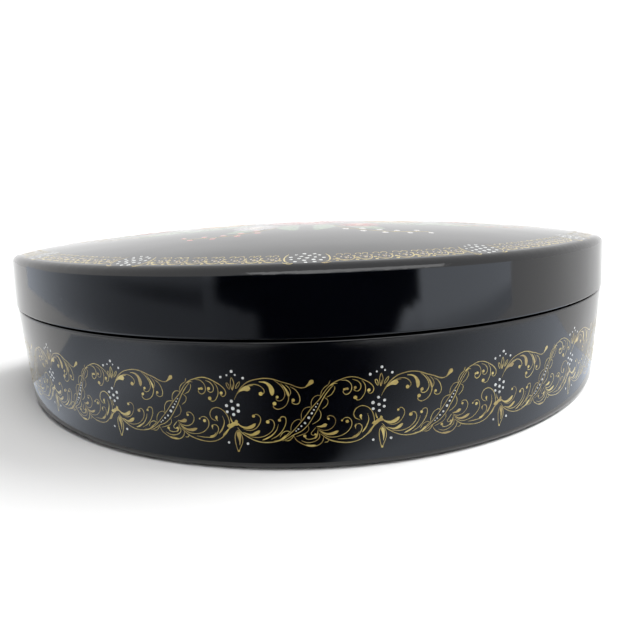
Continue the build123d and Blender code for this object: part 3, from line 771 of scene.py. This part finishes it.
def bloom(c, R, pal, a0=0.0, layers=3):
    own_ = random.Random(int(c[0] * 10 + c[1] * 77))
    for L in range(layers):
        k = 1 - 0.29 * L
        n = 8 - L
        for i in range(n):
            a = a0 + 2 * math.pi * (i + 0.5 * L) / n + own_.uniform(-0.06, 0.06)
            petal(c, a, R * 0.16 * k, R * 0.84 * k, R * 0.36 * k, pal[L], 0.012 + 0.012 * L)
            for d in (-0.16, 0.0, 0.16):
                st = [turn((R * k * q, R * k * d * (0.5 + q)), c, a) for q in (0.42, 0.62, 0.82)]
                art.stroke(st, 0.34 * k + 0.1, on_dome, "p", 0.008, pal[min(L + 1, 3)], zoff=0.012 + 0.012 * L)
    art.dot(c, R * 0.17, on_dome, OCHRE[1], lift=0.045, n=16)
    for i in range(9):
        a = 2 * math.pi * i / 9
        art.dot((c[0] + R * 0.23 * math.cos(a), c[1] + R * 0.23 * math.sin(a)), 0.36, on_dome, OCHRE[3], lift=0.05)


def leaf(c, a, length, width, flip=1):
    o = []
    n = 24
    for i in range(n):
        t = 2 * math.pi * i / n
        x = length * (0.5 - 0.5 * math.cos(t))
        w = width * math.sin(t) * (1.05 - 0.5 * x / length) * (1 + 0.08 * math.sin(9 * t))
        bend = flip * 0.10 * length * math.sin(math.pi * x / length)
        o.append(turn((x, w + bend), c, a))
    art.patch(o, on_dome, LEAFC[1], 0.010, 0.9)
    mid = [turn((length * q, flip * 0.10 * length * math.sin(math.pi * q)), c, a) for q in (0.0, 0.25, 0.5, 0.75, 0.97)]
    art.stroke(mid, 0.42, on_dome, "l", 0.008, LEAFC[3], zoff=0.010)
    for q in (0.22, 0.38, 0.54, 0.70):
        for sg in (-1, 1):
            b0 = turn((length * q, flip * 0.10 * length * math.sin(math.pi * q)), c, a)
            b1 = turn((length * (q + 0.13), flip * 0.10 * length * math.sin(math.pi * (q + 0.13)) + sg * width * 0.62 * (1.1 - 0.6 * q)), c, a)
            art.stroke([b0, ((b0[0] + b1[0]) / 2, (b0[1] + b1[1]) / 2), b1], 0.26, on_dome, "p", 0.006, LEAFC[2], zoff=0.010)


def spray(pts, n, pal, size=1.3):
    """Gold stem with berries on both sides."""
    gold3.stroke(pts, 0.36, on_dome, "l", 0.014, gold_tone())
    q = smooth(pts, 0.8)
    for i in range(n):
        t = 0.30 + 0.68 * i / max(1, n - 1)
        k = min(len(q) - 2, int(t * (len(q) - 1)))
        dx, dy = q[k + 1][0] - q[k][0], q[k + 1][1] - q[k][1]
        d = math.hypot(dx, dy) or 1
        sg = 1 if i % 2 else -1
        e = (q[k][0] - dy / d * sg * 2.1 + dx / d * 1.2, q[k][1] + dx / d * sg * 2.1 + dy / d * 1.2)
        gold3.stroke([q[k], ((q[k][0] + e[0]) / 2 + dx / d * 0.4, (q[k][1] + e[1]) / 2 + dy / d * 0.4), e], 0.24, on_dome, "l", 0.012, gold_tone())
        art.dot(e, size * (1 - 0.35 * t), on_dome, pal[2], lift=0.022, n=14)
        art.dot((e[0] - 0.25, e[1] + 0.3), size * 0.3, on_dome, pal[3], lift=0.028, n=8)


for sx_ in (-1, 1):
    for sy_ in (-1, 1):
        def G(x, y, sx_=sx_, sy_=sy_):
            return (sx_ * x, sy_ * y)
        aa = lambda d, sx_=sx_, sy_=sy_: math.atan2(sy_ * math.sin(math.radians(d)), sx_ * math.cos(math.radians(d)))
        leaf(G(14, 15), aa(62), 21, 5.2, sx_ * sy_)
        leaf(G(19, 11), aa(28), 24, 5.4, -sx_ * sy_)
        leaf(G(40, 11), aa(38), 19, 4.6, sx_ * sy_)
        leaf(G(47, 6), aa(14), 22, 4.4, -sx_ * sy_)
        leaf(G(5, 17), aa(96), 16, 4.4, -sx_ * sy_)
        spray([G(8, 20), G(14, 31), G(24, 38), G(36, 38)], 9, ROSE if sx_ * sy_ > 0 else PALE, 1.3)
        spray([G(44, 12), G(55, 19), G(66, 19), G(74, 13)], 8, PALE if sx_ * sy_ > 0 else ROSE, 1.15)
        spray([G(60, 3), G(70, 7), G(80, 6), G(86, 1.5)], 6, OCHRE, 1.0)
bloom((0, 0), 17.5, ROSE, 0.2)
bloom((-31, 2), 12.5, OCHRE, 0.5)
bloom((31, -2), 12.5, OCHRE, 0.1)
bloom((-57, -1), 8.5, ROSE, 0.3)
bloom((57, 1), 8.5, ROSE, 0.7)
bloom((-16.5, -21), 8.0, PALE, 0.2)
bloom((16.5, 21), 8.0, PALE, 0.4)
bloom((17.5, -20), 7.2, ROSE, 0.2)
bloom((-17.5, 20), 7.2, ROSE, 0.9)

gold.make("frieze_gold", M_GOLD, "base", "gold_paint")
white.make("frieze_white_dots", M_WHITE, "base", "white_paint")
gold2.make("lid_border_gold", M_GOLD, "lid", "gold_paint")
white2.make("lid_border_white_flowers", M_WHITE, "lid", "white_paint")
gold3.make("lid_top_gold_lines", M_GOLD, "lid", "gold_paint")
art.make("lid_top_flowers", M_COLOUR, "lid", "white_paint")

# ------------------------------------------------------------ floor and light
sc = bpy.context.scene
sc.view_settings.view_transform = "Standard"
sc.view_settings.look = "None"
sc.view_settings.exposure = 0.0

w = bpy.data.worlds.new("white_room")
sc.world = w
w.use_nodes = True
w.node_tree.nodes["Background"].inputs[0].default_value = (1, 1, 1, 1)
w.node_tree.nodes["Background"].inputs[1].default_value = 1.13
w.cycles_visibility.diffuse = False

me = bpy.data.meshes.new("floor")
me.from_pydata([(-6, -6, 0), (6, -6, 0), (6, 6, 0), (-6, 6, 0)], [], [(0, 1, 2, 3)])
floor = bpy.data.objects.new("floor", me)
sc.collection.objects.link(floor)
fm, fnt, fb = nodes_of("pale_floor")
fb.inputs["Base Color"].default_value = (0.88, 0.88, 0.88, 1)
fb.inputs["Roughness"].default_value = 1.0
fb.inputs["Specular IOR Level"].default_value = 0.0
me.materials.append(fm)


def sun(name, az, el, angle, strength):
    """Soft daylight from azimuth az (0 = right, 90 = back) and elevation el."""
    l = bpy.data.lights.new(name, "SUN")
    l.energy = strength
    l.angle = math.radians(angle)
    o = bpy.data.objects.new(name, l)
    sc.collection.objects.link(o)
    a, e = math.radians(az), math.radians(el)
    v = Vector((math.cos(e) * math.cos(a), math.cos(e) * math.sin(a), math.sin(e)))
    o.rotation_euler = v.to_track_quat("Z", "Y").to_euler()
    o.visible_glossy = False
    return o


sun("key_from_right", 14, 50, 28, 2.45)
sun("fill_from_above", -36, 70, 30, 1.65)
sun("fill_from_front", -66, 54, 30, 0.62)
sun("low_fill", -142, 14, 22, 0.60)

strip = bpy.data.lights.new("strip_softbox", "AREA")
strip.shape = "RECTANGLE"
strip.size, strip.size_y = 0.62, 0.15
strip.energy = math.pi * strip.size * strip.size_y * 2.2
to = bpy.data.objects.new("strip_softbox", strip)
sc.collection.objects.link(to)
to.location = (0.10, -0.45, 0.27)
to.rotation_euler = (Vector((0, -0.075, 0.04)) - Vector(to.location)).to_track_quat("-Z", "Y").to_euler()
to.visible_diffuse = False
to.visible_camera = False


def painted_reflection_sheet(name, pts, faces, tones):
    """Glowing sheet seen by reflections only, a painted reflection on the glossy surfaces; tones are its grey at each
    point.
    """
    me = bpy.data.meshes.new(name)
    me.from_pydata(pts, [], faces)
    at = me.color_attributes.new("tone", "FLOAT_COLOR", "POINT")
    for i, t in enumerate(tones):
        at.data[i].color = (t * 0.93, t, t * 1.11, 1)
    o = bpy.data.objects.new(name, me)
    sc.collection.objects.link(o)
    m = bpy.data.materials.new(name)
    m.use_nodes = True
    nt = m.node_tree
    nt.nodes.clear()
    out = nt.nodes.new("ShaderNodeOutputMaterial")
    em = nt.nodes.new("ShaderNodeEmission")
    vc = nt.nodes.new("ShaderNodeVertexColor")
    vc.layer_name = "tone"
    nt.links.new(vc.outputs[0], em.inputs[0])
    nt.links.new(em.outputs[0], out.inputs[0])
    me.materials.append(m)
    # hidden from camera, diffuse light and shadows: the sheet glows only in reflections, as painted reflection
    o.visible_camera = False
    o.visible_diffuse = False
    o.visible_shadow = False
    o.visible_transmission = False
    return o


def soft(t):
    t = max(0.0, min(1.0, t))
    return t * t * (3 - 2 * t)


# upright sheet before the box, a painted reflection seen in the lacquer sides: dark in the middle, grey at the left,
# glowing brighter than white at the right
plan = [(450, -180), (300, -180), (200, -180), (150, -180)] + [(x, -180) for x in range(124, -180, -4)]
plan += [(-230, -165), (-300, -135), (-380, -80), (-450, 0), (-500, 90), (-520, 200)]
zs = [0.2, 4, 8, 14, 20, 25, 29, 32, 35, 37, 39, 42, 45, 47, 49, 52, 56, 60, 66, 72, 78, 82, 86]


def upright(x, y, z):
    if x > 112:
        return 1.0 + 0.65 * soft((z - 12) / 16)
    if -104 < x <= 112:
        lim_l = -44 - 42 * soft((z - 31) / 9)
        lim_r = 50 + 36 * soft(z / 26) + 26 * soft((z - 27) / 8)
        inside = soft((x - lim_l + 7) / 12) * soft((lim_r - x + 5) / 10) * soft((84 - z) / 6)
        if x < 0:
            side = 0.34 + 0.08 * soft((-x - 60) / 40) + 0.5 * soft((z - 46) / 8)
        else:
            side = 1.05 + 0.5 * soft((z - 18) / 10)
        return 0.002 + side * (1 - inside)
    wing = soft((z - 31) / 7) * soft((48 - z) / 7) * soft((x + 330) / 170)
    far = soft((-x - 200) / 280)
    t = (0.42 + 0.34 * far) * (1 - 0.55 * wing)
    edge = max(soft((z - 43) / 22), soft((16 - z) / 18) * 0.45, soft((-x - 380) / 130))
    return t + (1.0 - t) * edge


pts, tones, faces = [], [], []
for x, y in plan:
    for z in zs:
        pts.append((x * MM, y * MM, z * MM))
        tones.append(upright(x, y, z))
m_ = len(zs)
for i in range(len(plan) - 1):
    for k in range(m_ - 1):
        a = i * m_ + k
        faces.append((a, a + 1, a + m_ + 1, a + m_))
painted_reflection_sheet("upright_painted_reflection", pts, faces, tones)


# painted reflection: glowing sheet on the floor that the lower wall mirrors, standing in for the floor's shade; dark
# right before the box, lighter with distance at the left, bright at the right
def lying(x, y):
    xr = 45 + (y + 165) / 83.0 * -39
    xl = -10 + (y + 82) * 0.27
    if x > xr:
        t = (x - xr) / max(4.0, (-y - 76) * 1.1)
        return 1.1 * (1 - math.exp(-0.8 * t))
    if x < xl:
        d = xl - x
        return min(1.05, 0.05 + 0.0115 * d * (1 - 0.55 * soft((-y - 105) / 50)))
    return 0.01 + 0.03 * soft((x - xr + 12) / 12) + 0.03 * soft((xl + 10 - x) / 10)


pts, tones, faces = [], [], []
ds = [2.5, 3.5, 5, 7, 10, 14, 18, 23, 28, 34, 40, 47, 55, 64, 74, 85, 96, 104]
ss = [s_ * 3.0 for s_ in range(-44, 46)]
for s_ in ss:
    for d in ds:
        x, y, nx, ny = oval(s_, 0.0, d)
        y = max(y, -179.9)
        pts.append((x * MM, y * MM, 0.0003))
        t = lying(x, y)
        # towards both ends the painted floor shade blends to grey 0.75 at the left and bright 1.2 at the right
        k = soft((abs(s_) - 84) / 40)
        tones.append(t + ((0.75 if s_ < 0 else 1.2) - t) * k)
m_ = len(ds)
for i in range(len(ss) - 1):
    for k in range(m_ - 1):
        a = i * m_ + k
        if min(-pts[q][1] for q in (a, a + 1, a + m_ + 1, a + m_)) < 0.1798:
            faces.append((a, a + 1, a + m_ + 1, a + m_))
painted_reflection_sheet("lying_painted_reflection", pts, faces, tones)

# --------------------------------------------------------------------- camera
cam = bpy.data.cameras.new("camera")
cam.sensor_width = 36.0
cam.lens = 454.418 / 640 * 36.0
cam.clip_start = 0.01
cam.clip_end = 50.0
co = bpy.data.objects.new("camera", cam)
sc.collection.objects.link(co)
pitch, roll = math.radians(13.79), math.radians(1.95)
co.matrix_world = (Matrix.Translation((0.003412, -0.173568, 0.061556))
                   @ Matrix.Rotation(math.pi / 2 - pitch, 4, "X") @ Matrix.Rotation(-roll, 4, "Z"))
sc.camera = co
